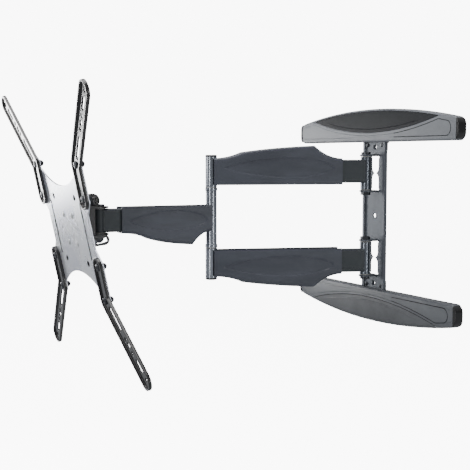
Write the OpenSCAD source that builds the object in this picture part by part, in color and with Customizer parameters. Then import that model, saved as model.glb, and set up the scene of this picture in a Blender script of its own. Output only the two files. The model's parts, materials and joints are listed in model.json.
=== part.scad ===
// Full motion television wall mount: wall bracket, two rear arms, one front arm,
// and a head that swivels and tilts, with four claws for the television.
// +Z is up, the wall is the plane y = 0 and the room is on the -Y side.
// The origin is the centre of the wall fixing slots, on the wall.

/* [Wall bracket] */
// Overall width of the wall bracket
bracket_w = 440; // [400:2:560]
// Overall height of the wall bracket
bracket_h = 353; // [340:1:420]
// Width of the spine
spine_w = 62; // [54:1:80]
// Sheet thickness of the spine
spine_t = 3; // [2:0.5:4]
// Width of the folded edges of the spine
hem_w = 6; // [4:0.5:8]
// Height of the folded edges in front of the web
hem_t = 2.5; // [1.5:0.5:4]
// Sheet thickness of the wings
wing_t = 2.5; // [2:0.5:4]
// Height of each wing
wing_h = 26; // [22:1:30]
// Space between a wing's flanges and its cover
wing_gap = 1.5; // [0.5:0.1:4]
// Length of a wall slot, end to end
wall_slot_l = 36; // [20:1:40]
// Width of a wall slot
wall_slot_w = 9; // [7:0.5:10]
// Distance from the end of the bracket to the centre of the outer wall slot
wall_slot_inset = 30; // [26:1:60]
// Distance between neighbouring wall slots
wall_slot_step = 76; // [50:1:90]
// Diameter of the holes in the spine
spine_hole_d = 8; // [6:0.5:10]
// Distance from a wall hinge's outer ear to the centre of the spine hole beyond it
spine_hole_gap = 12.5; // [8:0.5:16]

/* [Wing covers] */
// Depth of a wing cover from the wall
cover_d = 16; // [14.5:0.5:24]
// Height of a wing cover at its middle
cover_h = 54.5; // [50:0.5:70]
// How much lower a wing cover is at its ends
cover_drop = 21; // [10:1:24]
// Wall thickness of a wing cover
cover_t = 2.5; // [1.5:0.5:3]
// Thickness of the plastic inlay on a wing cover
inlay_t = 1.2; // [0.8:0.1:1.5]
// Thickness of the end caps of a wing cover
cap_t = 6; // [3:0.5:8]
// Corner radius of the ends of a wing cover
end_r = 12; // [6:0.5:14]

/* [Wall hinges] */
// Distance of the wall hinge axis from the wall
hinge_y = 23.5; // [22:0.5:30]
// Distance from the inner edge of a wing cover to the middle of its wall hinge
hinge_inset = 51.5; // [42:0.5:62]
// Clear height between the two ears of a wall hinge
ear_gap = 56; // [48:1:58]
// Width of an ear
ear_w = 20.8; // [19:0.2:24]
// Diameter of the wall hinge bolts
wall_pin_d = 10; // [8:0.5:10]
// Wall thickness of the wall hinge barrels
wall_barrel_wall = 2.55; // [1.5:0.05:3.5]

/* [Rear arms] */
// Distance from the wall hinge axis to the elbow axis
rear_arm_l = 260; // [220:1:320]
// How much further out the middle of a rear tube is than its wall hinge's
tube_shift = 3.5; // [0:0.5:6]
// Height of a rear tube
rear_tube_h = 38; // [34:1:40]
// Width of the rear and front tubes
tube_w = 20; // [19:0.5:22]
// Wall thickness of the tubes
tube_t = 2; // [1.5:0.5:3]

/* [Front arm] */
// Distance from the elbow axis to the swivel axis
front_arm_l = 188; // [180:1:240]
// Height of the front tube
front_tube_h = 36; // [32:1:38]

/* [Arm covers] */
// Space between the sides of an arm cover and its tube
arm_cover_space = 2; // [1:0.1:5]
// Wall thickness of an arm cover
arm_cover_t = 2; // [1.5:0.5:2.5]
// Rise of the rear covers over their ends
rear_rise = 20.7; // [12:0.5:22]
// Rise of the front cover over its ends
front_rise = 21.5; // [12:0.5:23]
// Space between the top of an arm cover and its tube
arm_cover_gap = 0.3; // [0.2:0.1:1]

/* [Elbow] */
// Diameter of the elbow pin
elbow_pin_d = 12; // [10:0.5:12]
// Wall thickness of the elbow barrels
elbow_barrel_wall = 3.5; // [2:0.1:5]
// Height of an elbow barrel
elbow_barrel_h = 48.5; // [42:0.5:50]
// Wall thickness of the middle sleeve
sleeve_wall = 1.5; // [1:0.1:3]
// How far the collars stand out from the middle sleeve
collar_step = 1; // [0.5:0.1:2]

/* [Head] */
// Wall thickness of the swivel barrel
swivel_barrel_wall = 2.5; // [1.5:0.1:4]
// Diameter of the swivel bolt
swivel_pin_d = 12; // [10:0.5:12]
// Sheet thickness of the yoke and the tilt bracket
head_t = 3; // [2.5:0.5:4]
// Outer width of the yoke
yoke_w = 54; // [50:1:64]
// Distance of the tilt axis in front of the swivel axis
tilt_y = 20; // [20:0.5:26]
// Height of the tilt axis above the yoke's upper plate
tilt_rise = 9.8; // [8:0.1:14]
// Distance of the guide bolts below the yoke's lower plate
guide_drop = 7.8; // [6:0.1:12]
// Diameter of the tilt bolt
tilt_pin_d = 8; // [6:0.5:8]
// Diameter of the tilt knob
knob_d = 16; // [14:0.5:22]
// Furthest tilt backwards, as an angle
tilt_min = -5; // [-8:1:0]
// Furthest tilt forwards, as an angle
tilt_max = 15; // [13:1:16]

/* [Television plate] */
// Distance from the tilt axis to the back of the plate
plate_y = 31; // [31:0.5:40]
// Height of the tilt axis above the middle of the plate
plate_z = 37; // [32:0.5:42]
// Distance from the plate's edge to the centres of the claw bolts
plate_edge = 12; // [9:0.5:20]
// Thickness of the plate
plate_t = 2.5; // [2:0.5:4]
// Width of the plate between its side notches
plate_waist = 188; // [156:2:200]
// Distance between the edges of the plate at its middle
plate_mid_h = 134; // [112:2:160]
// Width of a claw
claw_w = 30; // [24:1:34]
// Depth of a claw
claw_d = 5; // [4:0.5:8]
// Sheet thickness of a claw
claw_t = 2.5; // [1.5:0.5:3]
// Width of the raised rim of a claw
claw_rim_w = 3.5; // [2:0.5:5]

/* [Pose] */
// Angle of the rear arms from straight out, towards the left
rear_yaw = 17; // [0:1:30]
// Angle of the front arm from straight out, towards the left
front_yaw = 3; // [0:1:30]
// Forward tilt of the television plate
tilt = 12; // [0:1:13]

/* [Hidden] */
$fn = 64;
run_gap = 0.05;      // radial clearance of a running fit
side_gap = 0.2;      // axial clearance of a running fit
bolt_gap = 0.1;      // radial clearance of a bolt in a plate
cut_h = 600;         // height of a cutter that goes right through

// Wall bracket
web_y = wing_t;                       // back of the spine's web
web_front = web_y + spine_t;
cover_low = bracket_h / 2 - cover_h;  // inner edge of a wing cover
wing_inset = cover_t + 0.5;           // from a cover's outline to the wing inside it
wing_low = cover_low + wing_inset;
wing_l = bracket_w - 2 * cap_t - 1;
wing_d = cover_d - cover_t - wing_gap;
hinge_z = cover_low - hinge_inset;
spine_hole_z = hinge_z + ear_gap / 2 + spine_t + spine_hole_gap;
slot_z = wing_low + wing_h / 2;
spine_l = 2 * (wing_low + wing_h - wing_t - 1);
tongue_w = spine_w - 4;
tongue_low = spine_hole_z - spine_hole_d / 2 - 2;
screw_x = spine_w / 2 - hem_w - 5;
screw_z = cover_low - 5;
screw_r = 2;
screw_head_r = 3.3;
screw_head_h = 2;
screw_cross = [3.6, 0.8, 1];          // length, width and depth of the cross in a screw's head
window_h = ear_gap;
window_r = ear_w / 2;
relief_r = 1.4;

// A circle of this radius runs through the middle and the ends of a cover's long edge
function arc_r(half, sag) = (half * half + sag * sag) / (2 * sag);
cover_r = arc_r(bracket_w / 2, cover_drop);
lens_half = 175;
lens_sag = 23;
lens_low = cover_low + 15;            // the inlay's lowest point
lens_edge = 1.2;                      // from a cover's outer edge to the inlay
lens_r = arc_r(lens_half, lens_sag);

// Wall hinges
wall_bush_r = wall_pin_d / 2 + 1.2;
wall_barrel_d = 2 * (wall_bush_r + wall_barrel_wall);
flange_inset = 0.5;         // from a barrel's outside to the flange of its bush
flange_t = 1;
wall_barrel_h = ear_gap - 2 * flange_t - 2 * side_gap;
bolt_head_h = 4;
bolt_head_step = 3;         // how far a bolt's head stands out from its shank
nut_step = 3.5;             // how far a nut's corners stand out from its bolt
nut_h = 5;

// Arms
rear_tube_z = hinge_z + tube_shift;
tube_corner_r = 3;
tube_start = 4;             // from an arm's axis to the end of its tube
elbow = [-rear_arm_l * sin(rear_yaw), -hinge_y - rear_arm_l * cos(rear_yaw)];
swivel = elbow + front_arm_l * [-sin(front_yaw), -cos(front_yaw)];
knuckle_low = rear_tube_z - 24.5;
elbow_barrel_d = elbow_pin_d + 2 * elbow_barrel_wall;
sleeve_h = 2 * (knuckle_low - flange_t - side_gap);
collar_h = 5;
elbow_bush_r = elbow_pin_d / 2 + 1.5;
sleeve_d = 2 * (elbow_bush_r + sleeve_wall);
collar_d = sleeve_d + 2 * collar_step;
bush_l = 14;
elbow_top = knuckle_low + elbow_barrel_h;
elbow_cap_h = 3;
cover_start = 44;           // rear cover's start, from the wall hinge axis
cover_end_gap = 3;          // from the elbow axis to the ends of the arm covers
head_room = 33;             // from the end of the front cover to the swivel axis
arm_cover_w = tube_w + 2 * (arm_cover_space + arm_cover_t);
barrel_space = 0.5;         // between an arm cover and a barrel
rear_cover_l = rear_arm_l - cover_start - cover_end_gap;
front_cover_l = front_arm_l - cover_end_gap - head_room;
rear_ramp = 47;
front_ramp = 34;
cover_tail = 46;
skirt = 2.6;                // how far an arm cover reaches past its tube on the open side

// Head
swivel_bush_r = swivel_pin_d / 2 + 1.5;
swivel_barrel_d = 2 * (swivel_bush_r + swivel_barrel_wall);
swivel_head_h = 3;
swivel_nut_r = swivel_pin_d / 2 + 4;
swivel_dome_r = swivel_pin_d / 2 + 1.5;
yoke_z = front_tube_h / 2 + flange_t + side_gap;
yoke_top = yoke_z + head_t;
tilt_z = yoke_top + tilt_rise;
guide_z = -yoke_top - guide_drop;
guide_r = tilt_z - guide_z;
yoke_plate_r = 15;
yoke_web_y = 31;
ear_back = 15;              // nothing of the ears beside the arm comes closer to the swivel axis
washer_t = 1;
bracket_w2 = yoke_w / 2 + washer_t + side_gap;      // inner face of the tilt bracket's ears
guide_d = 6;
guide_gap = 0.3;
guide_head_d = 9;
guide_head_h = 3;
lobe_r = 11;
guide_lobe_r = 8;
knob_h = 11;
knob_bevel = 2;
knob_grip = 8;              // how far the tilt bolt reaches into the knob
knob_cross = [0.62 * knob_d, 1.6];
tilt_nut_h = 5.5;
tilt_nut_r = tilt_pin_d / 2 + 3;

// Television plate
vesa_small = 100;
vesa_mid = 200;
vesa_large = 400;
plate_w = vesa_mid + 2 * plate_edge;
vesa_hole_r = 3;
claw_hole_r = 3.25;
claw_bolt_r = 3;
edge_r = 160;               // radius of the plate's hollow top and bottom edges
notch_low = 25;
notch_high = 45;
groove_x = 70;
groove_h = 88;
spare_hole_x = 38;
spare_hole_r = 2.2;
rivet_x = 20;
rivet_z = 22;
rivet_r = 2.5;
rivet_head_r = 4.5;
groove_w = 3;
groove_d = 1.2;
claw_head_r = 5.5;
claw_head_h = 3;
claw_socket_r = 2;
claw_socket_d = 1.8;
claw_nut_r = 6;
claw_nut_h = 3;
claw_dome_r = 5;
tip_holes = [0, 46, (vesa_large - 300) / sqrt(2)];
tip_slots = [[11, 35], [54, 65], [85, 130]];

// ---- helpers ----

// A flat shape drawn in x and z, from y = -far to y = -near
module slab(near, far) {
    translate([0, -near, 0]) rotate([90, 0, 0]) linear_extrude(far - near) children();
}

// A flat shape drawn in distance along an arm and z, centred across the arm
module along(width) {
    rotate([0, 0, -90]) rotate([90, 0, 0]) linear_extrude(width, center = true) children();
}

module at_side(x) {
    translate([x, 0, 0]) rotate([0, 90, 0]) children();
}

module rounded(w, h, r) {
    square([w - 2 * r, h], center = true);
    square([w, h - 2 * r], center = true);
    for (x = [-1, 1], y = [-1, 1])
        translate([x * (w / 2 - r), y * (h / 2 - r)]) circle(r = r, $fn = 32);
}

module capsule(p, q, r) {
    translate(p) circle(r = r);
    translate(q) circle(r = r);
    translate(p) rotate(atan2(q.y - p.y, q.x - p.x)) translate([0, -r]) square([norm(q - p), 2 * r]);
}

module ring(r_out, r_in, h) {
    difference() {
        cylinder(r = r_out, h = h, center = true);
        cylinder(r = r_in, h = h + 2, center = true);
    }
}

// Points on a curve that starts at a, is pulled towards b, and ends at c
function bend(a, b, c, n = 10) =
    [for (i = [0 : n]) let (t = i / n) (1 - t) * (1 - t) * a + 2 * t * (1 - t) * b + t * t * c];

module flip(on) {
    if (on) mirror([0, 0, 1]) children();
    else children();
}

module rear_frame() {
    translate([0, -hinge_y, 0]) rotate([0, 0, -rear_yaw]) children();
}

module front_frame() {
    translate([elbow.x, elbow.y, 0]) rotate([0, 0, -front_yaw]) children();
}

module head_frame() {
    translate([swivel.x, swivel.y, 0]) children();
}

module tilt_frame() {
    head_frame() translate([0, -tilt_y, tilt_z]) rotate([tilt, 0, 0]) children();
}

module plate_frame() {
    tilt_frame() translate([0, -plate_y, -plate_z]) children();
}

// ---- wall bracket ----

module ear_window() {
    for (s = [-1, 1]) {
        translate([0, s * (window_r - 0.5)]) circle(r = window_r);
        translate([-window_r, s > 0 ? window_r : -window_h / 2])
            square([ear_w, window_h / 2 - window_r]);
        for (x = [-1, 1])
            translate([x * window_r, s * (window_h / 2 - relief_r)]) circle(r = relief_r, $fn = 24);
    }
}

module ear_plan() {
    capsule([0, -hinge_y], [0, -web_front], window_r - 0.2);
}

module wall_spine() {
    color([0.46, 0.48, 0.51]) difference() {
        union() {
            slab(web_y, web_front) rounded(spine_w, spine_l, 3);
            for (x = [-1, 1])
                translate([x * (spine_w - hem_w) / 2, 0, 0])
                    slab(web_y, web_front + hem_t) rounded(hem_w, spine_l, 2);
            for (hinge = [-1, 1], side = [-1, 1])
                translate([0, 0, hinge * hinge_z + side * (ear_gap + spine_t) / 2])
                    linear_extrude(spine_t, center = true) intersection() {
                        ear_plan();
                        translate([-ear_w, -2 * hinge_y]) square([2 * ear_w, 2 * hinge_y - web_y]);
                    }
        }
        for (hinge = [-1, 1]) {
            translate([0, 0, hinge * hinge_z]) slab(web_y - 1, web_front) ear_window();
            translate([0, -hinge_y, hinge * hinge_z])
                cylinder(r = wall_pin_d / 2 + run_gap, h = ear_gap + 4 * spine_t, center = true);
        }
        for (z = [-1, 0, 1])
            translate([0, 0, z * spine_hole_z]) slab(0, 2 * web_front) circle(d = spine_hole_d);
        for (x = [-1, 1], z = [-1, 1])
            translate([x * screw_x, 0, z * screw_z]) slab(0, 2 * web_front) circle(r = screw_r + bolt_gap);
    }
}

module wing() {
    difference() {
        union() {
            intersection() {
                union() {
                    translate([0, 0, slot_z]) slab(0, wing_t) rounded(wing_l, wing_h, 3);
                    for (s = [-1, 1])
                        translate([0, 0, slot_z + s * (wing_h - wing_t) / 2])
                            slab(0, wing_d) square([wing_l - 8, wing_t], center = true);
                }
                slab(-1, cover_d) cover_face(wing_inset);
            }
            slab(0, wing_t) translate([-tongue_w / 2, tongue_low]) square([tongue_w, slot_z - tongue_low]);
        }
        // the spine lies in a gap in the lower flange
        translate([0, 0, wing_low]) slab(wing_t, 2 * wing_d)
            square([spine_w + 1, wing_h], center = true);
        for (x = [-1, 1], k = [0, 1])
            slab(-1, wing_t + 1)
                translate([x * (bracket_w / 2 - wall_slot_inset - k * wall_slot_step), slot_z])
                capsule([(wall_slot_w - wall_slot_l) / 2, 0], [(wall_slot_l - wall_slot_w) / 2, 0],
                    wall_slot_w / 2);
        for (x = [-1, 1])
            translate([x * screw_x, 0, screw_z]) slab(-1, wing_t + 1) circle(r = screw_r + bolt_gap);
        translate([0, 0, spine_hole_z]) slab(-1, wing_t + 1) circle(d = spine_hole_d);
    }
}

module top_wing() {
    color([0.12, 0.12, 0.13]) wing();
}

module bottom_wing() {
    color([0.12, 0.12, 0.13]) flip(true) wing();
}

// Front view of a wing cover and its end caps, made smaller all round by inset
module cover_outline(inset) {
    x = bracket_w / 2 - end_r;
    low = cover_low + end_r;
    high = bracket_h / 2 - cover_r + sqrt(pow(cover_r - end_r, 2) - x * x);
    intersection() {
        union() {
            translate([-x, cover_low + inset]) square([2 * x, cover_h]);
            for (s = [-1, 1]) {
                translate([s * x, low]) circle(r = end_r - inset);
                translate([s * x, high]) circle(r = end_r - inset);
                translate([s * x + inset - end_r, low]) square([2 * (end_r - inset), high - low]);
            }
        }
        translate([0, bracket_h / 2 - cover_r]) circle(r = cover_r - inset, $fn = 256);
    }
}

// The part of that outline between the end caps
module cover_face(inset) {
    intersection() {
        cover_outline(inset);
        translate([cap_t - bracket_w / 2, cover_low]) square([bracket_w - 2 * cap_t, cover_h]);
    }
}

module lens() {
    intersection() {
        cover_face(lens_edge);
        translate([0, lens_low + lens_r]) circle(r = lens_r, $fn = 256);
    }
}

module wing_cover() {
    difference() {
        slab(0, cover_d) cover_face(0);
        slab(-1, cover_d - cover_t) cover_face(cover_t);
        slab(cover_d - inlay_t, cover_d + 1) lens();
        // the spine passes under the inner edge
        slab(-1, web_front + hem_t + 1) translate([0, cover_low])
            square([spine_w + 2, 4 * cover_t], center = true);
    }
}

module top_cover() {
    color([0.66, 0.67, 0.69]) wing_cover();
}

module bottom_cover() {
    color([0.47, 0.48, 0.5]) flip(true) wing_cover();
}

module top_inlay() {
    color([0.2, 0.21, 0.23]) slab(cover_d - inlay_t, cover_d) lens();
}

module bottom_inlay() {
    color([0.38, 0.39, 0.41]) flip(true) slab(cover_d - inlay_t, cover_d) lens();
}

module end_caps() {
    slab(0, cover_d) difference() {
        cover_outline(0);
        translate([cap_t - bracket_w / 2, cover_low - 1]) square([bracket_w - 2 * cap_t, cover_h + 2]);
    }
}

module top_end_caps() {
    color([0.05, 0.05, 0.06]) end_caps();
}

module bottom_end_caps() {
    color([0.05, 0.05, 0.06]) flip(true) end_caps();
}

module spine_screws() {
    color([0.1, 0.1, 0.11]) for (x = [-1, 1], z = [-1, 1])
        translate([x * screw_x, 0, z * screw_z]) {
            slab(0.2, web_front) circle(r = screw_r);
            difference() {
                slab(web_front, web_front + screw_head_h) circle(r = screw_head_r);
                for (a = [0, 90])
                    slab(web_front + screw_head_h - screw_cross.z, web_front + 3) rotate(a)
                        square([screw_cross.x, screw_cross.y], center = true);
            }
        }
}

// ---- wall hinges ----

module wall_bolt() {
    top = hinge_z + ear_gap / 2 + spine_t;
    bottom = hinge_z - ear_gap / 2 - spine_t - nut_h;
    translate([0, -hinge_y, bottom]) cylinder(d = wall_pin_d, h = top - bottom);
    translate([0, -hinge_y, top]) cylinder(r = wall_pin_d / 2 + bolt_head_step, h = bolt_head_h);
}

module upper_wall_bolt() {
    color([0.3, 0.31, 0.33]) wall_bolt();
}

module lower_wall_bolt() {
    color([0.3, 0.31, 0.33]) flip(true) wall_bolt();
}

module wall_nuts() {
    color([0.3, 0.31, 0.33]) for (s = [-1, 1])
        translate([0, -hinge_y, s * (hinge_z - ear_gap / 2 - spine_t - nut_h / 2)]) difference() {
            cylinder(r = wall_pin_d / 2 + nut_step, h = nut_h, center = true, $fn = 6);
            cylinder(d = wall_pin_d, h = nut_h + 2, center = true);
        }
}

module wall_barrel() {
    translate([0, -hinge_y, hinge_z]) ring(wall_barrel_d / 2, wall_bush_r, wall_barrel_h);
}

module upper_wall_barrel() {
    color([0.28, 0.3, 0.33]) wall_barrel();
}

module lower_wall_barrel() {
    color([0.28, 0.3, 0.33]) flip(true) wall_barrel();
}

// A flanged bush whose flange's outer face is at z = 0, reaching down
module bushing(r_in, r_out, flange_r) {
    translate([0, 0, -flange_t / 2]) ring(flange_r, r_in, flange_t);
    translate([0, 0, -flange_t - bush_l / 2]) ring(r_out, r_in, bush_l);
}

module wall_bushings() {
    color([0.85, 0.85, 0.82]) for (s = [-1, 1], e = [-1, 1])
        translate([0, -hinge_y, s * hinge_z + e * (wall_barrel_h / 2 + flange_t)]) flip(e < 0)
            bushing(wall_pin_d / 2 + run_gap, wall_bush_r, wall_barrel_d / 2 - flange_inset);
}

// ---- rear arms ----

module box_tube(h, from, to) {
    along(tube_w) translate([from, -h / 2]) square([to - from, h]);
}

module rear_tube() {
    rear_frame() translate([0, 0, rear_tube_z]) difference() {
        intersection() {
            rotate([90, 0, 0]) linear_extrude(rear_arm_l) rounded(tube_w, rear_tube_h, tube_corner_r);
            box_tube(rear_tube_h, tube_start, rear_arm_l - tube_start);
        }
        rotate([90, 0, 0]) translate([0, 0, -1]) linear_extrude(rear_arm_l + 2)
            rounded(tube_w - 2 * tube_t, rear_tube_h - 2 * tube_t, tube_corner_r / 2);
        cylinder(d = wall_barrel_d, h = 2 * rear_tube_h, center = true);
        translate([0, -rear_arm_l, 0]) cylinder(d = elbow_barrel_d, h = 2 * rear_tube_h, center = true);
    }
}

module upper_rear_tube() {
    color([0.17, 0.19, 0.2]) rear_tube();
}

module lower_rear_tube() {
    color([0.17, 0.19, 0.2]) flip(true) rear_tube();
}

module elbow_barrel() {
    translate([elbow.x, elbow.y, knuckle_low + elbow_barrel_h / 2])
        ring(elbow_barrel_d / 2, elbow_pin_d / 2, elbow_barrel_h);
}

module upper_elbow_barrel() {
    color([0.3, 0.32, 0.35]) elbow_barrel();
}

module lower_elbow_barrel() {
    color([0.3, 0.32, 0.35]) flip(true) elbow_barrel();
}

module elbow_pin() {
    color([0.5, 0.51, 0.53]) translate([elbow.x, elbow.y, 0])
        cylinder(d = elbow_pin_d, h = 2 * elbow_top, center = true);
}

module elbow_caps() {
    color([0.06, 0.06, 0.07]) for (s = [-1, 1]) flip(s < 0)
        translate([elbow.x, elbow.y, elbow_top]) {
            cylinder(d = elbow_barrel_d, h = elbow_cap_h - 1);
            translate([0, 0, elbow_cap_h - 1]) cylinder(d1 = elbow_barrel_d, d2 = elbow_barrel_d - 3, h = 1);
        }
}

// ---- arm covers ----

// Side view of the top of an arm cover: a hollow ramp, a peak, and a long fall to the tail
function cover_top(len, ramp, base, rise) = concat(
    bend([0, base], [0.55 * ramp, base + 1], [ramp, base + rise]),
    bend([ramp, base + rise], [len * 0.55, base + 0.85 * rise], [len - cover_tail, base + 0.48 * rise]),
    bend([len - cover_tail, base + 0.48 * rise], [len - 0.6 * cover_tail, base + 1], [len, base]));

module cover_side(len, ramp, base, rise, low) {
    polygon(concat([[0, low]], cover_top(len, ramp, base, rise), [[len, low]]));
}

// The open side faces down; start is the distance of its ramp end from the arm's axis
module arm_cover(start, len, ramp, tube_h, rise) {
    base = tube_h / 2 + arm_cover_gap + arm_cover_t;
    low = -tube_h / 2 - skirt;
    inner_w = arm_cover_w - 2 * arm_cover_t;
    difference() {
        along(arm_cover_w) translate([start, 0]) cover_side(len, ramp, base, rise, low);
        along(inner_w) translate([start - 1, 0])
            cover_side(len + 2, ramp + 1, base - arm_cover_t, rise, low - 1);
    }
    // ribs that seat the cover on the tube
    for (d = [0.25, 0.75], x = [-1, 1])
        translate([x * (inner_w + tube_w) / 4, -start - d * len, 0])
            cube([(inner_w - tube_w) / 2, 2, 0.7 * tube_h], center = true);
}

module rear_cover() {
    difference() {
        rear_frame() translate([0, 0, rear_tube_z])
            arm_cover(cover_start, rear_cover_l, rear_ramp, rear_tube_h, rear_rise);
        translate([elbow.x, elbow.y, 0])
            cylinder(r = elbow_barrel_d / 2 + barrel_space, h = cut_h, center = true);
    }
}

module upper_rear_cover() {
    color([0.29, 0.31, 0.34]) rear_cover();
}

module lower_rear_cover() {
    color([0.29, 0.31, 0.34]) flip(true) rear_cover();
}

// ---- front arm ----

module elbow_sleeve() {
    color([0.3, 0.32, 0.35]) translate([elbow.x, elbow.y, 0]) {
        ring(sleeve_d / 2, elbow_bush_r, sleeve_h);
        for (s = [-1, 1])
            translate([0, 0, s * (sleeve_h - collar_h) / 2]) ring(collar_d / 2, elbow_bush_r, collar_h);
    }
}

module elbow_bushings() {
    color([0.85, 0.85, 0.82]) for (e = [-1, 1])
        translate([elbow.x, elbow.y, e * (sleeve_h / 2 + flange_t)]) flip(e < 0)
            bushing(elbow_pin_d / 2 + run_gap, elbow_bush_r, elbow_barrel_d / 2 - flange_inset);
}

module front_tube() {
    color([0.17, 0.19, 0.2]) front_frame() difference() {
        intersection() {
            rotate([90, 0, 0]) linear_extrude(front_arm_l) rounded(tube_w, front_tube_h, tube_corner_r);
            box_tube(front_tube_h, tube_start, front_arm_l - tube_start);
        }
        rotate([90, 0, 0]) translate([0, 0, -1]) linear_extrude(front_arm_l + 2)
            rounded(tube_w - 2 * tube_t, front_tube_h - 2 * tube_t, tube_corner_r / 2);
        cylinder(d = sleeve_d, h = 2 * front_tube_h, center = true);
        for (s = [-1, 1])
            translate([0, 0, s * (sleeve_h - collar_h) / 2])
                cylinder(d = collar_d, h = collar_h, center = true);
        translate([0, -front_arm_l, 0]) cylinder(d = swivel_barrel_d, h = 2 * front_tube_h, center = true);
    }
}

module front_cover() {
    color([0.29, 0.31, 0.34]) difference() {
        front_frame() flip(true)
            arm_cover(cover_end_gap, front_cover_l, front_ramp, front_tube_h, front_rise);
        translate([elbow.x, elbow.y, 0]) cylinder(r = collar_d / 2 + barrel_space, h = cut_h, center = true);
    }
}

module swivel_barrel() {
    color([0.17, 0.19, 0.2]) head_frame() ring(swivel_barrel_d / 2, swivel_bush_r, front_tube_h);
}

module swivel_bushings() {
    color([0.85, 0.85, 0.82]) head_frame() for (e = [-1, 1])
        translate([0, 0, e * (front_tube_h / 2 + flange_t)]) flip(e < 0)
            bushing(swivel_pin_d / 2 + run_gap, swivel_bush_r, swivel_barrel_d / 2 - flange_inset);
}

// ---- head ----

// Side view of a yoke ear, in y forward and z, around the tilt bolt and the guide bolt
module yoke_ear() {
    translate([tilt_y, tilt_z]) circle(r = lobe_r);
    translate([tilt_y, guide_z]) circle(r = guide_lobe_r);
    translate([ear_back, guide_z]) square([yoke_web_y - ear_back, guide_r]);
}

module swivel_yoke() {
    color([0.1, 0.1, 0.11]) head_frame() difference() {
        union() {
            for (s = [-1, 1])
                translate([0, 0, s * (yoke_z + head_t / 2)]) linear_extrude(head_t, center = true) {
                    circle(r = yoke_plate_r);
                    translate([-yoke_plate_r, -yoke_web_y]) square([2 * yoke_plate_r, yoke_web_y]);
                    translate([-yoke_w / 2, -yoke_web_y]) square([yoke_w, yoke_web_y - ear_back]);
                }
            slab(yoke_web_y - head_t, yoke_web_y) square([yoke_w, 2 * yoke_top], center = true);
            for (x = [-1, 1])
                translate([x * (yoke_w - head_t) / 2, 0, 0]) along(head_t) yoke_ear();
        }
        cylinder(d = swivel_pin_d, h = cut_h, center = true);
        translate([0, -tilt_y, tilt_z]) rotate([0, 90, 0])
            cylinder(d = tilt_pin_d, h = 2 * yoke_w, center = true);
        translate([0, -tilt_y, guide_z]) rotate([0, 90, 0])
            cylinder(d = guide_d, h = 2 * yoke_w, center = true);
    }
}

module swivel_bolt() {
    color([0.3, 0.31, 0.33]) head_frame() {
        translate([0, 0, -yoke_top - nut_h]) cylinder(d = swivel_pin_d, h = 2 * yoke_top + nut_h);
        translate([0, 0, yoke_top]) cylinder(r = swivel_pin_d / 2 + bolt_head_step, h = swivel_head_h);
    }
}

module swivel_nut() {
    color([0.3, 0.31, 0.33]) head_frame() translate([0, 0, -yoke_top - nut_h]) difference() {
        union() {
            cylinder(r = swivel_nut_r, h = nut_h, $fn = 6);
            intersection() {
                sphere(r = swivel_dome_r);
                translate([0, 0, -swivel_nut_r]) cylinder(r = swivel_nut_r, h = swivel_nut_r);
            }
        }
        cylinder(d = swivel_pin_d, h = nut_h + 1);
    }
}

module tilt_bolt() {
    end = bracket_w2 + head_t + side_gap;
    color([0.3, 0.31, 0.33]) head_frame() translate([0, -tilt_y, tilt_z])
        at_side(-end - tilt_nut_h - 0.5) cylinder(d = tilt_pin_d, h = 2 * end + tilt_nut_h + 0.5 + knob_grip);
}

module tilt_nut() {
    end = bracket_w2 + head_t + side_gap;
    color([0.3, 0.31, 0.33]) head_frame() translate([-end - tilt_nut_h, -tilt_y, tilt_z]) rotate([0, 90, 0])
        difference() {
            cylinder(r = tilt_nut_r, h = tilt_nut_h, $fn = 6);
            translate([0, 0, -1]) cylinder(d = tilt_pin_d, h = tilt_nut_h + 2);
        }
}

module tilt_guide_bolts() {
    inner = yoke_w / 2 - head_t - guide_head_h;
    outer = bracket_w2 + head_t + side_gap;
    color([0.3, 0.31, 0.33]) head_frame() for (s = [0, 1])
        translate([0, -tilt_y, guide_z]) mirror([s, 0, 0]) {
            at_side(inner) cylinder(d = guide_d, h = outer - inner + 1);
            at_side(outer) cylinder(d = guide_head_d, h = guide_head_h);
            at_side(inner) cylinder(d = guide_head_d, h = guide_head_h);
        }
}

module tilt_washers() {
    color([0.85, 0.85, 0.82]) head_frame() for (s = [-1, 1])
        translate([s * (yoke_w + washer_t) / 2, -tilt_y, 0]) {
            translate([0, 0, tilt_z]) rotate([0, 90, 0]) ring(tilt_pin_d / 2 + 5, tilt_pin_d / 2, washer_t);
            translate([0, 0, guide_z]) rotate([0, 90, 0]) ring(guide_d / 2 + 3.5, guide_d / 2, washer_t);
        }
}

// Side view of a tilt bracket ear, in y forward and z from the tilt axis
module bracket_ear() {
    first = guide_r * [sin(tilt_max), -cos(tilt_max)];
    last = guide_r * [sin(tilt_min), -cos(tilt_min)];
    front = plate_y - 1;
    difference() {
        union() {
            circle(r = lobe_r);
            translate([0, -lobe_r]) square([front, 2 * lobe_r]);
            translate(first) circle(r = guide_lobe_r);
            translate(last) circle(r = guide_lobe_r);
            polygon([first - [0, guide_lobe_r], last - [0, guide_lobe_r], last + [0, guide_lobe_r],
                first + [0, guide_lobe_r]]);
            translate([first.x, first.y - guide_lobe_r]) square([front - first.x, 2 * guide_lobe_r]);
            translate([front - 12, first.y]) square([12, -first.y]);
        }
        circle(d = tilt_pin_d + 2 * run_gap);
        guide_slot();
    }
}

// Curved slot around the tilt axis, for a guide bolt at every angle of tilt
module guide_slot() {
    slot_r = guide_d / 2 + guide_gap;
    end_angle = asin(slot_r / guide_r) + 0.3;
    far = 2 * guide_r;
    intersection() {
        difference() {
            circle(r = guide_r + slot_r, $fn = 128);
            circle(r = guide_r - slot_r, $fn = 128);
        }
        polygon([[0, 0], far * [sin(tilt_max + end_angle), -cos(tilt_max + end_angle)],
            far * [sin(tilt_min - end_angle), -cos(tilt_min - end_angle)]]);
    }
}

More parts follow.
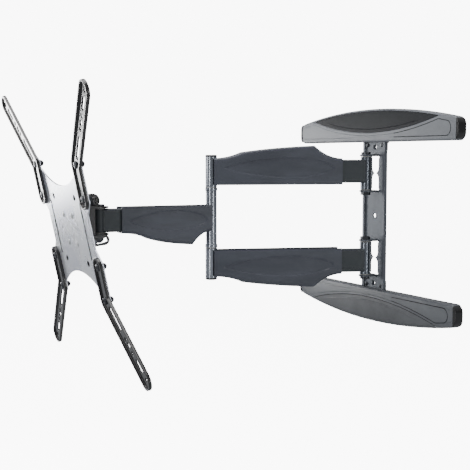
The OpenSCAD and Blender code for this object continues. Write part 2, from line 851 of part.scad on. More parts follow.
module tilt_bracket() {
    base_h = guide_r + lobe_r + guide_lobe_r;
    color([0.1, 0.1, 0.11]) tilt_frame() difference() {
        union() {
            for (x = [-1, 1])
                translate([x * (bracket_w2 + head_t / 2), 0, 0]) along(head_t) bracket_ear();
            translate([0, -plate_y + head_t / 2, lobe_r - base_h / 2])
                cube([2 * (bracket_w2 + head_t), head_t, base_h], center = true);
        }
        for (x = [-1, 1], z = [-1, 1])
            translate([x * rivet_x, -plate_y, z * rivet_z - plate_z])
                slab(-2 * head_t, 1) circle(r = rivet_r);
    }
}

module bracket_rivets() {
    color([0.75, 0.76, 0.78]) plate_frame() for (x = [-1, 1], z = [-1, 1])
        translate([x * rivet_x, 0, z * rivet_z]) {
            slab(-head_t, plate_t) circle(r = rivet_r);
            slab(plate_t, plate_t + 1) circle(r = rivet_head_r);
            slab(-head_t - 1, -head_t) circle(r = rivet_head_r);
        }
}

// ---- television plate ----

module plate_outline() {
    half = plate_w / 2;
    waist = plate_waist / 2;
    // the corners keep their material around the outer claw bolts
    for (x = [-1, 1], z = [-1, 1])
        translate([x, z] * vesa_mid / 2) circle(r = plate_edge - 1);
    difference() {
        rounded(plate_w, plate_w, 8);
        for (s = [-1, 1]) {
            translate([0, s * (plate_mid_h / 2 + edge_r)]) circle(r = edge_r, $fn = 128);
            polygon([[s * waist, -notch_low], [s * waist, notch_low], [s * (half + 1), notch_high],
                [s * (half + 1), -notch_high]]);
        }
    }
}

module vesa_plate() {
    color([0.84, 0.85, 0.9]) plate_frame() difference() {
        slab(0, plate_t) plate_outline();
        for (x = [-1, 1], z = [-1, 1]) {
            slab(-1, plate_t + 1) translate([x, z] * vesa_small / 2) circle(r = vesa_hole_r);
            slab(-1, plate_t + 1) translate([x * rivet_x, z * rivet_z]) circle(r = rivet_r);
            for (p = [vesa_mid / 4, vesa_mid / 2])
                slab(-1, plate_t + 1) translate([x * vesa_mid / 2, z * p])
                    circle(r = claw_bolt_r + bolt_gap);
        }
        for (x = [-1, 1]) {
            slab(plate_t - groove_d, plate_t + 1) translate([x * groove_x, 0])
                square([groove_w, groove_h], center = true);
            slab(-1, plate_t + 1) translate([x * spare_hole_x, 0]) circle(r = spare_hole_r);
        }
    }
}

// Outline of a claw: a short upright leg, and a long leg that leans outwards at 45 degrees
module claw_outline(r) {
    inner = [vesa_mid / 2, vesa_mid / 4];
    knee = [vesa_mid, vesa_mid] / 2;
    tip = [vesa_large, vesa_large] / 2;
    side = r * [1, -1] / sqrt(2);
    for (p = [inner, knee, tip])
        translate(p) circle(r = r);
    polygon([inner - [r, 0], inner + [r, 0], knee + [r, 0], knee - [r, 0]]);
    polygon([knee + side, tip + side, tip - side, knee - side]);
}

// A slot along the outer leg, between two distances from the tip hole
module leg_slot(from, to) {
    half = (to - from) / 2;
    middle = vesa_large / 2 - (to + from) / 2 / sqrt(2);
    translate([middle, middle]) rotate(45)
        capsule([claw_hole_r - half, 0], [half - claw_hole_r, 0], claw_hole_r);
}

module claw_holes() {
    for (d = tip_holes)
        translate([1, 1] * (vesa_large / 2 - d / sqrt(2))) circle(r = claw_hole_r);
    for (s = tip_slots)
        leg_slot(s[0], s[1]);
    for (p = [vesa_mid / 4, vesa_mid / 2])
        translate([vesa_mid / 2, p]) circle(r = claw_bolt_r + bolt_gap);
}

// A flat floor with a raised rim all round
module claw(x, z) {
    plate_frame() mirror([x < 0 ? 1 : 0, 0, 0]) mirror([0, 0, z < 0 ? 1 : 0]) {
        slab(plate_t, plate_t + claw_t) difference() {
            claw_outline(claw_w / 2);
            claw_holes();
        }
        slab(plate_t + claw_t, plate_t + claw_d) difference() {
            claw_outline(claw_w / 2);
            claw_outline(claw_w / 2 - claw_rim_w);
        }
    }
}

module claw_top_left() {
    color([0.03, 0.03, 0.035]) claw(-1, 1);
}

module claw_top_right() {
    color([0.03, 0.03, 0.035]) claw(1, 1);
}

module claw_bottom_left() {
    color([0.03, 0.03, 0.035]) claw(-1, -1);
}

module claw_bottom_right() {
    color([0.03, 0.03, 0.035]) claw(1, -1);
}

module each_claw_bolt() {
    plate_frame() for (x = [-1, 1], z = [-1, 1], p = [vesa_mid / 4, vesa_mid / 2])
        translate([x * vesa_mid / 2, 0, z * p]) children();
}

module claw_bolts() {
    grip = plate_t + claw_t;
    color([0.35, 0.36, 0.38]) each_claw_bolt() {
        slab(-claw_nut_h, grip) circle(r = claw_bolt_r);
        difference() {
            slab(grip, grip + claw_head_h) circle(r = claw_head_r);
            slab(grip + claw_head_h - claw_socket_d, grip + 4) circle(r = claw_socket_r, $fn = 6);
        }
    }
}

module claw_nuts() {
    color([0.35, 0.36, 0.38]) each_claw_bolt() difference() {
        union() {
            slab(-claw_nut_h, 0) circle(r = claw_nut_r, $fn = 6);
            translate([0, claw_nut_h, 0]) rotate([-90, 0, 0]) intersection() {
                sphere(r = claw_dome_r);
                cylinder(r = claw_nut_r, h = claw_nut_r);
            }
        }
        slab(-claw_nut_h, 1) circle(r = claw_bolt_r);
    }
}

// ---- tilt knob ----

module tilt_knob() {
    start = bracket_w2 + head_t + side_gap;
    color([0.06, 0.06, 0.07]) head_frame() translate([start, -tilt_y, tilt_z]) rotate([0, 90, 0])
        difference() {
            union() {
                cylinder(d = knob_d, h = knob_h - knob_bevel);
                translate([0, 0, knob_h - knob_bevel])
                    cylinder(d1 = knob_d, d2 = knob_d - 2 * knob_bevel, h = knob_bevel);
            }
            translate([0, 0, -1]) cylinder(r = tilt_pin_d / 2 + run_gap, h = knob_grip + 1.5);
            for (a = [0, 90])
                rotate(a) translate([0, 0, knob_h - 1])
                    cube([knob_cross.x, knob_cross.y, 3], center = true);
        }
}

wall_spine();
top_wing();
bottom_wing();
top_cover();
bottom_cover();
top_inlay();
bottom_inlay();
top_end_caps();
bottom_end_caps();
spine_screws();
upper_wall_bolt();
lower_wall_bolt();
wall_nuts();
upper_wall_barrel();
lower_wall_barrel();
wall_bushings();
upper_rear_tube();
lower_rear_tube();
upper_elbow_barrel();
lower_elbow_barrel();
upper_rear_cover();
lower_rear_cover();
elbow_pin();
elbow_caps();
elbow_sleeve();
elbow_bushings();
front_tube();
front_cover();
swivel_barrel();
swivel_bushings();
swivel_yoke();
swivel_bolt();
swivel_nut();
tilt_bolt();
tilt_nut();
tilt_guide_bolts();
tilt_washers();
tilt_bracket();
bracket_rivets();
vesa_plate();
claw_top_left();
claw_top_right();
claw_bottom_left();
claw_bottom_right();
claw_bolts();
claw_nuts();
tilt_knob();
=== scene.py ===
# %% [markdown]
# # A television wall mount that swings, folds and tilts
#
# The mount holds a television away from a wall on two hinged arms. Its frame
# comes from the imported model, which also says what turns about what. This lesson
# dresses that frame: sheet steel with broken edges, moulded covers, turned
# barrels, pressed claws, and screws.

# %% Load the frame
import json
import math
import bpy
import bmesh
from mathutils import Matrix, Vector


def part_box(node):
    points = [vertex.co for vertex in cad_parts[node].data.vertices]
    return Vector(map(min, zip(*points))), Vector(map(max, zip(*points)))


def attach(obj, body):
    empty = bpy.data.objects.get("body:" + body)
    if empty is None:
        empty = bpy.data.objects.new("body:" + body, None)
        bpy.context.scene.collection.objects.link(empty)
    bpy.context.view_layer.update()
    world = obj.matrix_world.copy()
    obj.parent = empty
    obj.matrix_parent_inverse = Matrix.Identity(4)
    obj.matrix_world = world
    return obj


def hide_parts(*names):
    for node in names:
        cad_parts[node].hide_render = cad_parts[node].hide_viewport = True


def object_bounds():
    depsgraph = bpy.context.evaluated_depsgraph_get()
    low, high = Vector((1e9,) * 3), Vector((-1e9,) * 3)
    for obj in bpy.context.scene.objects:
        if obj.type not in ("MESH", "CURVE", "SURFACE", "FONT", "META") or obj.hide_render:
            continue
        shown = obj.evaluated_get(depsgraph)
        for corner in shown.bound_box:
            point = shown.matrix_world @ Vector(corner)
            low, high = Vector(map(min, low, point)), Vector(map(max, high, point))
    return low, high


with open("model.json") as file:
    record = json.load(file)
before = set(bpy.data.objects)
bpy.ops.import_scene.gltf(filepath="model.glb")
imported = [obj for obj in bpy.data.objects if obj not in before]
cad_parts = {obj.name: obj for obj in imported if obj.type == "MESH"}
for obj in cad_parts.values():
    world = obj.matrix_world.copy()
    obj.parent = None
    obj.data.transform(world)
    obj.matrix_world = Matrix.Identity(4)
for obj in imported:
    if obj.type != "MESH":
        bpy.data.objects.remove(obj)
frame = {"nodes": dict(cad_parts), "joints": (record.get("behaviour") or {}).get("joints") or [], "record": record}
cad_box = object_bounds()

mm = 0.001
record = frame["record"]
nodes = frame["nodes"]

# %% [markdown]
# ## Where the mount's parts are
#
# The joints give the four axes that everything hangs from: the wall hinge, the
# elbow, the swivel and the tilt. Small functions turn a place on either arm or on
# the television plate into a place in the frame, so each piece can be drawn in
# the way that its maker would draw it.

# %% Axes and frames
axis_at = {j["name"]: Vector(j["pos_m"]) for j in frame["joints"]}
hinge, elbow = axis_at["wall_swing"], axis_at["elbow_swing"]
swivel = axis_at["head_swivel"]
mounts = {m["name"]: m for m in record["mounts"]}
plate_out = Vector(mounts["tv_100_top_left"]["axis"]).normalized()
plate_right = Vector((1, 0, 0))
plate_up = plate_out.cross(plate_right).normalized()
if plate_up.z < 0:
    plate_up.negate()
corners = [Vector(mounts[n]["pos_m"]) for n in mounts if n.startswith("tv_100")]
plate_thick = mounts["tv_100_top_left"]["dims"]["length_mm"] * mm
plate_back = sum(corners, Vector()) / 4 - plate_out * plate_thick / 2


def on_arm(start, end):
    """Gives a function from (along, across, up) on an arm to the frame."""
    out = (end - start).normalized()
    side = Vector((-out.y, out.x, 0))
    return lambda along, across, up: start + out * along + side * across + Vector((0, 0, up))


def on_plate(x, up, out):
    """A place on the television plate; out is measured from its back."""
    return plate_back + plate_right * x + plate_up * up + plate_out * out


on_rear, on_front = on_arm(hinge, elbow), on_arm(elbow, swivel)
rear_length, front_length = (elbow - hinge).length, (swivel - elbow).length
print(f"rear arm {rear_length / mm:.0f} mm, front arm {front_length / mm:.0f} mm")

# %% [markdown]
# ## Camera, floor and light
#
# The camera stands to the right of the mount and a little above it, with a long
# lens, so the arms run across the picture and the wall bracket is seen at a low
# angle. A wide pale floor lies well below, and big soft lamps stand round it, as in
# a packshot studio: broad ones for the satin paint, narrow ones for the bright
# lines on the turned parts.

# %% Camera
camera_data = bpy.data.cameras.new("camera")
camera_data.sensor_width = 36
camera_data.lens = 74.59
camera_data.clip_start, camera_data.clip_end = 0.01, 50
camera = bpy.data.objects.new("camera", camera_data)
bpy.context.scene.collection.objects.link(camera)
turn, dip = math.radians(27.604), math.radians(4.623)
look = Vector((-math.cos(turn) * math.cos(dip), math.sin(turn) * math.cos(dip), -math.sin(dip)))
camera.location = (1.3347, -0.9664, 0.0986)
camera.rotation_euler = look.to_track_quat("-Z", "Y").to_euler()
bpy.context.scene.camera = camera

# %% World and lamps
world = bpy.data.worlds.new("studio")
bpy.context.scene.world = world
world.use_nodes = True
tree = world.node_tree
tree.nodes.clear()
place = tree.nodes.new("ShaderNodeTexCoord")
split = tree.nodes.new("ShaderNodeSeparateXYZ")
ramp = tree.nodes.new("ShaderNodeValToRGB")
lift = tree.nodes.new("ShaderNodeMath")
path = tree.nodes.new("ShaderNodeLightPath")
soft = tree.nodes.new("ShaderNodeBackground")
white = tree.nodes.new("ShaderNodeBackground")
either = tree.nodes.new("ShaderNodeMixShader")
end = tree.nodes.new("ShaderNodeOutputWorld")
lift.operation, lift.inputs[1].default_value, lift.inputs[2].default_value = "MULTIPLY_ADD", 0.5, 0.5
ramp.color_ramp.elements[0].position, ramp.color_ramp.elements[0].color = 0.0, (0.62, 0.63, 0.66, 1)
ramp.color_ramp.elements[1].position, ramp.color_ramp.elements[1].color = 1.0, (1.0, 1.0, 1.0, 1)
for at, level in ((0.47, 0.34), (0.56, 0.22), (0.75, 0.75)):
    stop = ramp.color_ramp.elements.new(at)
    stop.color = (level, level * 1.01, level * 1.04, 1)
soft.inputs["Strength"].default_value = 0.55
white.inputs["Color"].default_value, white.inputs["Strength"].default_value = (1, 1, 1, 1), 9.0
for a, b in ((place.outputs["Generated"], split.inputs[0]), (split.outputs["Z"], lift.inputs[0]),
             (lift.outputs[0], ramp.inputs[0]), (ramp.outputs[0], soft.inputs["Color"]),
             (path.outputs["Is Camera Ray"], either.inputs[0]), (soft.outputs[0], either.inputs[1]),
             (white.outputs[0], either.inputs[2]), (either.outputs[0], end.inputs[0])):
    tree.links.new(a, b)


def lamp(name, place, aim, size, power, tint=(1, 1, 1)):
    """A soft rectangular lamp at a place, turned to a point."""
    data = bpy.data.lights.new(name, "AREA")
    data.shape, data.size, data.size_y = "RECTANGLE", size[0], size[1]
    data.energy, data.color = power, tint
    it = bpy.data.objects.new(name, data)
    bpy.context.scene.collection.objects.link(it)
    it.location = place
    it.rotation_euler = (Vector(aim) - Vector(place)).to_track_quat("-Z", "Y").to_euler()
    return it


lamp("top_lamp", (-0.2, -0.6, 1.9), (0, -0.25, 0), (1.6, 1.6), 28)
lamp("room_lamp", (-0.9, -2.4, 0.7), (-0.05, -0.3, 0), (1.4, 1.4), 20, (1.0, 0.99, 0.98))
lamp("left_lamp", (-2.3, -0.90, 0.04), (-0.09, -0.5, 0.0), (0.6, 0.7), 20)
lamp("strip_lamp", (1.1, -2.1, 0.2), (0, -0.3, 0), (0.12, 1.8), 8)
lamp("back_strip", (1.9, 0.35, 0.1), (0, -0.3, 0), (0.10, 1.6), 5)

# %% [markdown]
# ## Shader sums in plain Python
#
# A paint is arithmetic: a base colour, less a little where dust lies, plus a
# little where an edge is rubbed. `Level` wraps one output of a node and adds Math
# nodes for + - * / and powers, so that sum can be written as a sum. `Finish` makes
# a material and has one method for every other kind of node.

# %% Level and Finish
class Level:
    def __init__(self, finish, socket):
        self.finish, self.socket = finish, socket

    def _sum(self, operation, a, b):
        return self.finish.node("Math", {"operation": operation}, a, b)

    def __add__(self, other): return self._sum("ADD", self, other)
    def __radd__(self, other): return self._sum("ADD", other, self)
    def __sub__(self, other): return self._sum("SUBTRACT", self, other)
    def __rsub__(self, other): return self._sum("SUBTRACT", other, self)
    def __mul__(self, other): return self._sum("MULTIPLY", self, other)
    def __rmul__(self, other): return self._sum("MULTIPLY", other, self)
    def __truediv__(self, other): return self._sum("DIVIDE", self, other)
    def __pow__(self, other): return self._sum("POWER", self, other)


class Finish:
    """A material whose Principled shader is self.shader."""

    def __init__(self, name, slot=None, **uniform):
        self.name = name
        self.material = bpy.data.materials.new("mount_" + name)
        self.material.use_nodes = True
        self.tree = self.material.node_tree
        self.tree.nodes.clear()
        self.shader = self.tree.nodes.new("ShaderNodeBsdfPrincipled")
        out = self.tree.nodes.new("ShaderNodeOutputMaterial")
        self.tree.links.new(self.shader.outputs[0], out.inputs[0])
        self.slot = slot
        for socket, value in uniform.items():
            self.shader.inputs[socket.replace("_", " ")].default_value = value

    def node(self, kind, settings, *values, out=0, **named):
        made = self.tree.nodes.new("ShaderNode" + kind)
        for key, value in settings.items():
            if key == "stops":
                stops = made.color_ramp.elements
                while len(stops) < len(value):
                    stops.new(0.5)
                for stop, (at, level) in zip(stops, value):
                    stop.position = at
                    stop.color = (level, level, level, 1) if isinstance(level, (int, float)) else (*level, 1)
            else:
                setattr(made, key, value)
        for key, value in list(enumerate(values)) + list(named.items()):
            socket = made.inputs[key.replace("_", " ") if isinstance(key, str) else key]
            if isinstance(value, Level):
                self.tree.links.new(value.socket, socket)
            elif value is not None:
                socket.default_value = value
        return Level(self, made.outputs[out])

    def place(self, scale=(1, 1, 1)):
        here = self.node("TexCoord", {}, out="Object")
        return self.node("Mapping", {}, Vector=here, Scale=scale)

    def noise(self, scale, detail=3.0, rough=0.55, stretch=(1, 1, 1)):
        return self.node("TexNoise", {}, Vector=self.place(stretch), Scale=scale, Detail=detail, Roughness=rough)

    def step(self, value, low, high, a=0.0, b=1.0):
        """Goes smoothly from a to b as value goes from low to high."""
        return self.node("MapRange", {"interpolation_type": "SMOOTHSTEP"}, Value=value, From_Min=low, From_Max=high,
                         To_Min=a, To_Max=b)

    def blend(self, share, a, b):
        a = (*a, 1) if isinstance(a, tuple) else a
        b = (*b, 1) if isinstance(b, tuple) else b
        made = self.node("Mix", {"data_type": "RGBA"}, out=2)
        node = made.socket.node
        for index, value in ((0, share), (6, a), (7, b)):
            if isinstance(value, Level):
                self.tree.links.new(value.socket, node.inputs[index])
            else:
                node.inputs[index].default_value = value
        return made

    def edge(self):
        """1 on the broken edges that soften() marks, 0 elsewhere."""
        return self.node("Attribute", {"attribute_name": "edge"}, out="Fac")

    def set(self, socket, value):
        self.tree.links.new(value.socket, self.shader.inputs[socket])

    def bump(self, height, depth, distance=0.0002, under=None):
        return self.node("Bump", {}, Strength=depth, Distance=distance, Height=height, Normal=under)


print("shader helpers ready")

# %% [markdown]
# ## Finishes
#
# The sheet steel is powder coated, which gives a fine skin like orange peel. It
# wears first where an edge is broken, so those faces are a little lighter and
# glossier. The moulded covers have a spark-eroded texture that is finer and duller.
# The turned barrels are bright metal under a dark plating, with rings left by the
# lathe, and the pressed claws have a deep gloss.

# %% Powder coat and moulded plastic
def powder_coat(name, slot, colour, rough, coat=0.0, metal=0.0, peel=900.0, depth=0.25, wear=0.25,
                rub=(0.5, 0.5, 0.5)):
    """Paint with an orange-peel skin, faint clouds, and rubbed edges."""
    f = Finish(name, slot, Coat_Roughness=0.12, IOR=1.5)
    skin = f.noise(peel, 2.0, 0.5)
    cloud = f.noise(14.0, 4.0, 0.6)
    scuff = f.step(f.noise(160.0, 4.0, 0.7), 0.52, 0.68)
    rubbed = f.edge() * scuff * wear
    darker = tuple(c * 0.9 for c in colour)
    lighter = tuple(min(1.0, c * 1.09) for c in colour)
    base = f.blend(f.step(cloud, 0.35, 0.65), darker, lighter)
    fleck = f.step(f.noise(2600.0, 1.0, 0.5), 0.35, 0.7, 0.0, 0.35)
    base = f.blend(fleck, base, tuple(min(1.0, c * 1.25 + 0.004) for c in colour))
    f.set("Base Color", f.blend(rubbed, base, rub))
    f.set("Roughness", (rough - 0.06) + cloud * 0.1 + skin * 0.04 - rubbed * 0.1)
    f.set("Metallic", rubbed * 0.4 + metal)
    f.shader.inputs["Coat Weight"].default_value = coat
    f.set("Normal", f.bump(skin, depth, 0.00012))
    return f


def moulded(name, slot, colour, rough, grain=2200.0, depth=0.3, streak=(1, 1, 1), coat=0.0, shine=0.5):
    """Moulded plastic: a fine even grain, faint flow marks, and polished edges."""
    f = Finish(name, slot, IOR=1.48, Coat_Roughness=0.3, Specular_IOR_Level=shine)
    tooth = f.node("TexVoronoi", {"feature": "SMOOTH_F1"}, Vector=f.place(), Scale=grain, Smoothness=0.6)
    flow = f.noise(22.0, 5.0, 0.62, streak)
    worn = f.step(f.noise(240.0, 3.0, 0.6), 0.5, 0.72)
    deep = tuple(c * 0.88 for c in colour)
    pale = tuple(min(1.0, c * 1.14) for c in colour)
    base = f.blend(f.step(flow, 0.34, 0.66), deep, pale)
    rubbed = f.edge() * worn * 0.35
    f.set("Base Color", f.blend(rubbed, base, tuple(min(1.0, c * 1.7 + 0.02) for c in colour)))
    f.set("Roughness", (rough - 0.05) + flow * 0.1 - f.edge() * 0.08)
    f.shader.inputs["Coat Weight"].default_value = coat
    f.set("Normal", f.bump(tooth, depth, 0.00008))
    return f


def plated(name, slot, colour, rough, rings=(60, 60, 2600), depth=0.2, dull=0.4):
    """Plated turned steel, with fine rings round it and faint blotches."""
    f = Finish(name, slot, Metallic=1.0)
    ring = f.noise(1.0, 3.0, 0.6, rings)
    blotch = f.noise(70.0, 4.0, 0.6)
    smear = f.step(blotch, 0.42, 0.7)
    f.set("Base Color", f.blend(smear * dull, colour, tuple(c * 0.55 for c in colour)))
    f.set("Roughness", (rough - 0.04) + ring * 0.1 + smear * 0.1)
    f.set("Normal", f.bump(ring, depth, 0.00005))
    return f


finish = {}
for made in (
    powder_coat("spine_paint", "spine_steel", (0.105, 0.118, 0.138), 0.42, coat=0.1, metal=0.3),
    powder_coat("hidden_steel", "black_steel", (0.022, 0.023, 0.026), 0.5, wear=0.3),
    powder_coat("tube_paint", "charcoal_tube", (0.046, 0.055, 0.062), 0.44, depth=0.3, rub=(0.2, 0.2, 0.21)),
    powder_coat("head_paint", "black_steel", (0.008, 0.009, 0.010), 0.32, coat=0.2, rub=(0.3, 0.3, 0.3)),
    powder_coat("plate_paint", "plate_paint", (0.84, 0.87, 1.0), 0.26, metal=0.72, coat=0.2, depth=0.14, wear=0.5,
                rub=(0.85, 0.85, 0.88)),
    powder_coat("claw_paint", "claw_paint", (0.006, 0.006, 0.007), 0.22, coat=0.6, peel=700.0, depth=0.08, wear=0.12,
                rub=(0.35, 0.35, 0.36)),
    # The wing covers and their inlays are one moulding, mirrored, so these colours are painted light and shade: the
    # top cover lighter, the bottom cover darker, the top inlay darker for the dark it reflects, the bottom inlay
    # lighter.
    moulded("silver_cover", "light_cover", (0.20, 0.212, 0.232), 0.38, coat=0.08, streak=(0.4, 1, 1), shine=0.35),
    moulded("grey_cover", "grey_cover", (0.10, 0.108, 0.12), 0.36, coat=0.2, streak=(0.4, 1, 1)),
    moulded("dark_inlay", "dark_inlay", (0.011, 0.013, 0.016), 0.5, grain=3200.0, depth=0.12, shine=0.2),
    moulded("grey_inlay", "grey_inlay", (0.085, 0.09, 0.098), 0.42, grain=3200.0, depth=0.15),
    # A pale bead in the groove on each inlay's bow: painted highlight.
    moulded("inlay_trim", "dark_inlay", (0.42, 0.43, 0.45), 0.3, depth=0.1),
    moulded("arm_plastic", "slate_cover", (0.082, 0.090, 0.112), 0.42, streak=(1, 0.35, 1.6), depth=0.4),
    moulded("black_plastic", "black_plastic", (0.008, 0.008, 0.009), 0.26, coat=0.4, depth=0.15),
    # Matt black for the seams of the wing covers, and for painted shade: in the plate's holes, on its fold lines and
    # along the bottom inlay.
    moulded("matt_rubber", "black_plastic", (0.006, 0.006, 0.007), 0.62, depth=0.1, shine=0.15),
    moulded("bush_plastic", "bush_plastic", (0.62, 0.62, 0.58), 0.45),
    plated("barrel_plating", "gloss_barrel", (0.20, 0.22, 0.25), 0.2),
    # The elbow barrels and sleeve are the same plated steel as the wall barrels; this lighter copy is a painted
    # highlight.
    plated("elbow_plating", "gloss_barrel", (0.42, 0.45, 0.50), 0.17, dull=0.25),
    plated("bolt_plating", "dark_bolt", (0.10, 0.105, 0.115), 0.28, rings=(900, 900, 900), dull=0.6),
    plated("rivet_steel", "rivet", (0.62, 0.63, 0.65), 0.3, rings=(900, 900, 900)),
):
    finish[made.name] = made
print("finishes:", ", ".join(sorted(finish)))

# %% [markdown]
# ## Breaking the edges of sheet metal
#
# No real edge is sharp. Pressing, bending and painting all leave a small round,
# and that round is what catches the light and outlines a dark part. `soften` copies
# a part of the frame, merges its loose triangles into clean faces, rounds each
# edge, and marks the rounds in an attribute called `edge`, so the paint can wear
# there. Shading normals are weighted by face size, which keeps the flats flat.

# %% soften()
def finished(it, body, paint, *stands_for):
    """Dresses a piece, puts it on its body, and lets it stand for frame parts."""
    chosen = finish[paint]
    it.data.materials.clear()
    it.data.materials.append(chosen.material)
    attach(it, body)
    if stands_for:
        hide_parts(*stands_for)
    return it


def apply_modifiers(it):
    """Turns an object and its modifiers into a plain mesh."""
    bpy.context.view_layer.update()
    graph = bpy.context.evaluated_depsgraph_get()
    mesh = bpy.data.meshes.new_from_object(it.evaluated_get(graph), preserve_all_data_layers=True, depsgraph=graph)
    it.modifiers.clear()
    it.data = mesh
    mesh.name = it.name
    return it


def mark_edges(mesh, is_edge):
    """Writes the edge attribute, one number for each face."""
    values = [1.0 if is_edge(p) else 0.0 for p in mesh.polygons]
    attribute = mesh.attributes.get("edge") or mesh.attributes.new("edge", "FLOAT", "FACE")
    attribute.data.foreach_set("value", values)
    for p in mesh.polygons:
        p.material_index = 0


def new_object(name, mesh):
    """An object of this mesh, linked to the scene at the origin."""
    it = bpy.data.objects.new(name, mesh)
    bpy.context.scene.collection.objects.link(it)
    return it


def round_edges(it, width, segments=2, angle=35.0):
    """Rounds every edge sharper than angle, then marks the rounds."""
    while len(it.data.materials) < 2:
        it.data.materials.append(None)
    rounder = it.modifiers.new("round", "BEVEL")
    rounder.width, rounder.segments = width, segments
    rounder.limit_method, rounder.angle_limit = "ANGLE", math.radians(angle)
    rounder.use_clamp_overlap = False
    rounder.material = 1
    rounder.miter_outer = "MITER_SHARP"
    normals = it.modifiers.new("normals", "WEIGHTED_NORMAL")
    normals.keep_sharp = True
    for p in it.data.polygons:
        p.use_smooth = True
    apply_modifiers(it)
    mark_edges(it.data, lambda p: p.material_index == 1)
    return it


def soften(node, width):
    """A copy of a frame part with its edges broken."""
    mesh = nodes[node].data.copy()
    work = bmesh.new()
    work.from_mesh(mesh)
    bmesh.ops.remove_doubles(work, verts=work.verts, dist=2e-6)
    bmesh.ops.dissolve_limit(work, angle_limit=math.radians(0.6), verts=work.verts, edges=work.edges)
    for layer in list(work.loops.layers.uv):
        work.loops.layers.uv.remove(layer)
    work.to_mesh(mesh)
    work.free()
    mesh.materials.clear()
    return round_edges(new_object("soft_" + node, mesh), width)


body_of = {n: b for b, members in record["behaviour"]["bodies"].items() for n in members}
for node, width, paint in (
    ("wall_spine", 0.4, "spine_paint"),
    ("top_wing", 0.4, "hidden_steel"), ("bottom_wing", 0.4, "hidden_steel"),
    ("upper_wall_bolt", 0.5, "bolt_plating"), ("lower_wall_bolt", 0.5, "bolt_plating"),
    ("wall_nuts", 0.5, "bolt_plating"),
    ("upper_wall_barrel", 0.5, "barrel_plating"), ("lower_wall_barrel", 0.5, "barrel_plating"),
    ("wall_bushings", 0.2, "bush_plastic"),
    ("upper_rear_tube", 0.3, "tube_paint"), ("lower_rear_tube", 0.3, "tube_paint"), ("front_tube", 0.3, "tube_paint"),
    ("upper_elbow_barrel", 0.7, "elbow_plating"), ("lower_elbow_barrel", 0.7, "elbow_plating"),
    ("elbow_sleeve", 0.4, "elbow_plating"), ("elbow_pin", 0.4, "bolt_plating"),
    ("elbow_bushings", 0.2, "bush_plastic"), ("elbow_caps", 0.5, "black_plastic"),
    ("swivel_barrel", 0.5, "tube_paint"), ("swivel_bushings", 0.2, "bush_plastic"),
    ("swivel_yoke", 0.45, "head_paint"), ("swivel_bolt", 0.6, "bolt_plating"), ("swivel_nut", 0.5, "bolt_plating"),
    ("tilt_bolt", 0.4, "bolt_plating"), ("tilt_nut", 0.5, "bolt_plating"), ("tilt_guide_bolts", 0.5, "bolt_plating"),
    ("tilt_washers", 0.15, "black_plastic"), ("tilt_bracket", 0.45, "head_paint"),
    ("vesa_plate", 0.5, "plate_paint"),
    ("claw_top_left", 0.7, "claw_paint"), ("claw_top_right", 0.7, "claw_paint"),
    ("claw_bottom_left", 0.7, "claw_paint"), ("claw_bottom_right", 0.7, "claw_paint"),
    ("top_end_caps", 1.2, "black_plastic"), ("bottom_end_caps", 1.2, "black_plastic"),
):
    finished(soften(node, width * mm), body_of[node], paint, node)

# %% [markdown]
# ## Moulded covers by lofting
#
# A moulded cover is a skin drawn over ribs: at each station along its length there
# is one section, and the skin joins each section to the next. `loft` does that
# from a table of points. A wall thickness is then grown inwards with Solidify, so
# the cover is a shell with a real rim, as the moulding is.

# %% loft()
def loft(name, sections):
    """A skin over a list of sections, each a list of the same number of points."""
    work = bmesh.new()
    rows = [[work.verts.new(p) for p in section] for section in sections]
    for a, b in zip(rows, rows[1:]):
        for i in range(len(a) - 1):
            work.faces.new((a[i], a[i + 1], b[i + 1], b[i]))
    mesh = bpy.data.meshes.new(name)
    work.to_mesh(mesh)
    work.free()
    return new_object(name, mesh)


def face_outwards(it, inside):
    """Turns the skin over if it looks at a point inside it."""
    mesh = it.data
    facing = sum((p.center - inside(p.center)).dot(p.normal) * p.area for p in mesh.polygons)
    if facing < 0:
        mesh.flip_normals()


def grow_wall(it, thick):
    wall = it.modifiers.new("wall", "SOLIDIFY")
    wall.thickness, wall.offset = thick, -1.0
    wall.use_even_offset = False
    return apply_modifiers(it)


def smooth(it, angle=30.0):
    """Smooth shading, broken where the surface turns sharply."""
    mesh = it.data
    for p in mesh.polygons:
        p.use_smooth = True
    mesh.set_sharp_from_angle(angle=math.radians(angle))
    normals = it.modifiers.new("normals", "WEIGHTED_NORMAL")
    normals.keep_sharp = True
    return apply_modifiers(it)


def ease(value, low, high):
    t = min(1.0, max(0.0, (value - low) / (high - low)))
    return t * t * (3 - 2 * t)


def steps(a, b, count):
    return [a + (b - a) * i / count for i in range(count + 1)]


# %% [markdown]
# ## Wing covers
#
# Each wing of the bracket hides behind a long cover: flat along its inner edge,
# bowed along its outer edge, rounded at its ends, and slightly crowned. A
# lens-shaped inlay lies in a shallow seat along the bow, and two fine grooves run
# along the band below. The rows of the loft follow the lens, so its edge is crisp
# without a dense mesh. Matt beads fill the seam at the right-hand end; a matt bead
# along the lower inlay is painted shade, and a finer, paler bead along the bow of each inlay is a painted highlight.

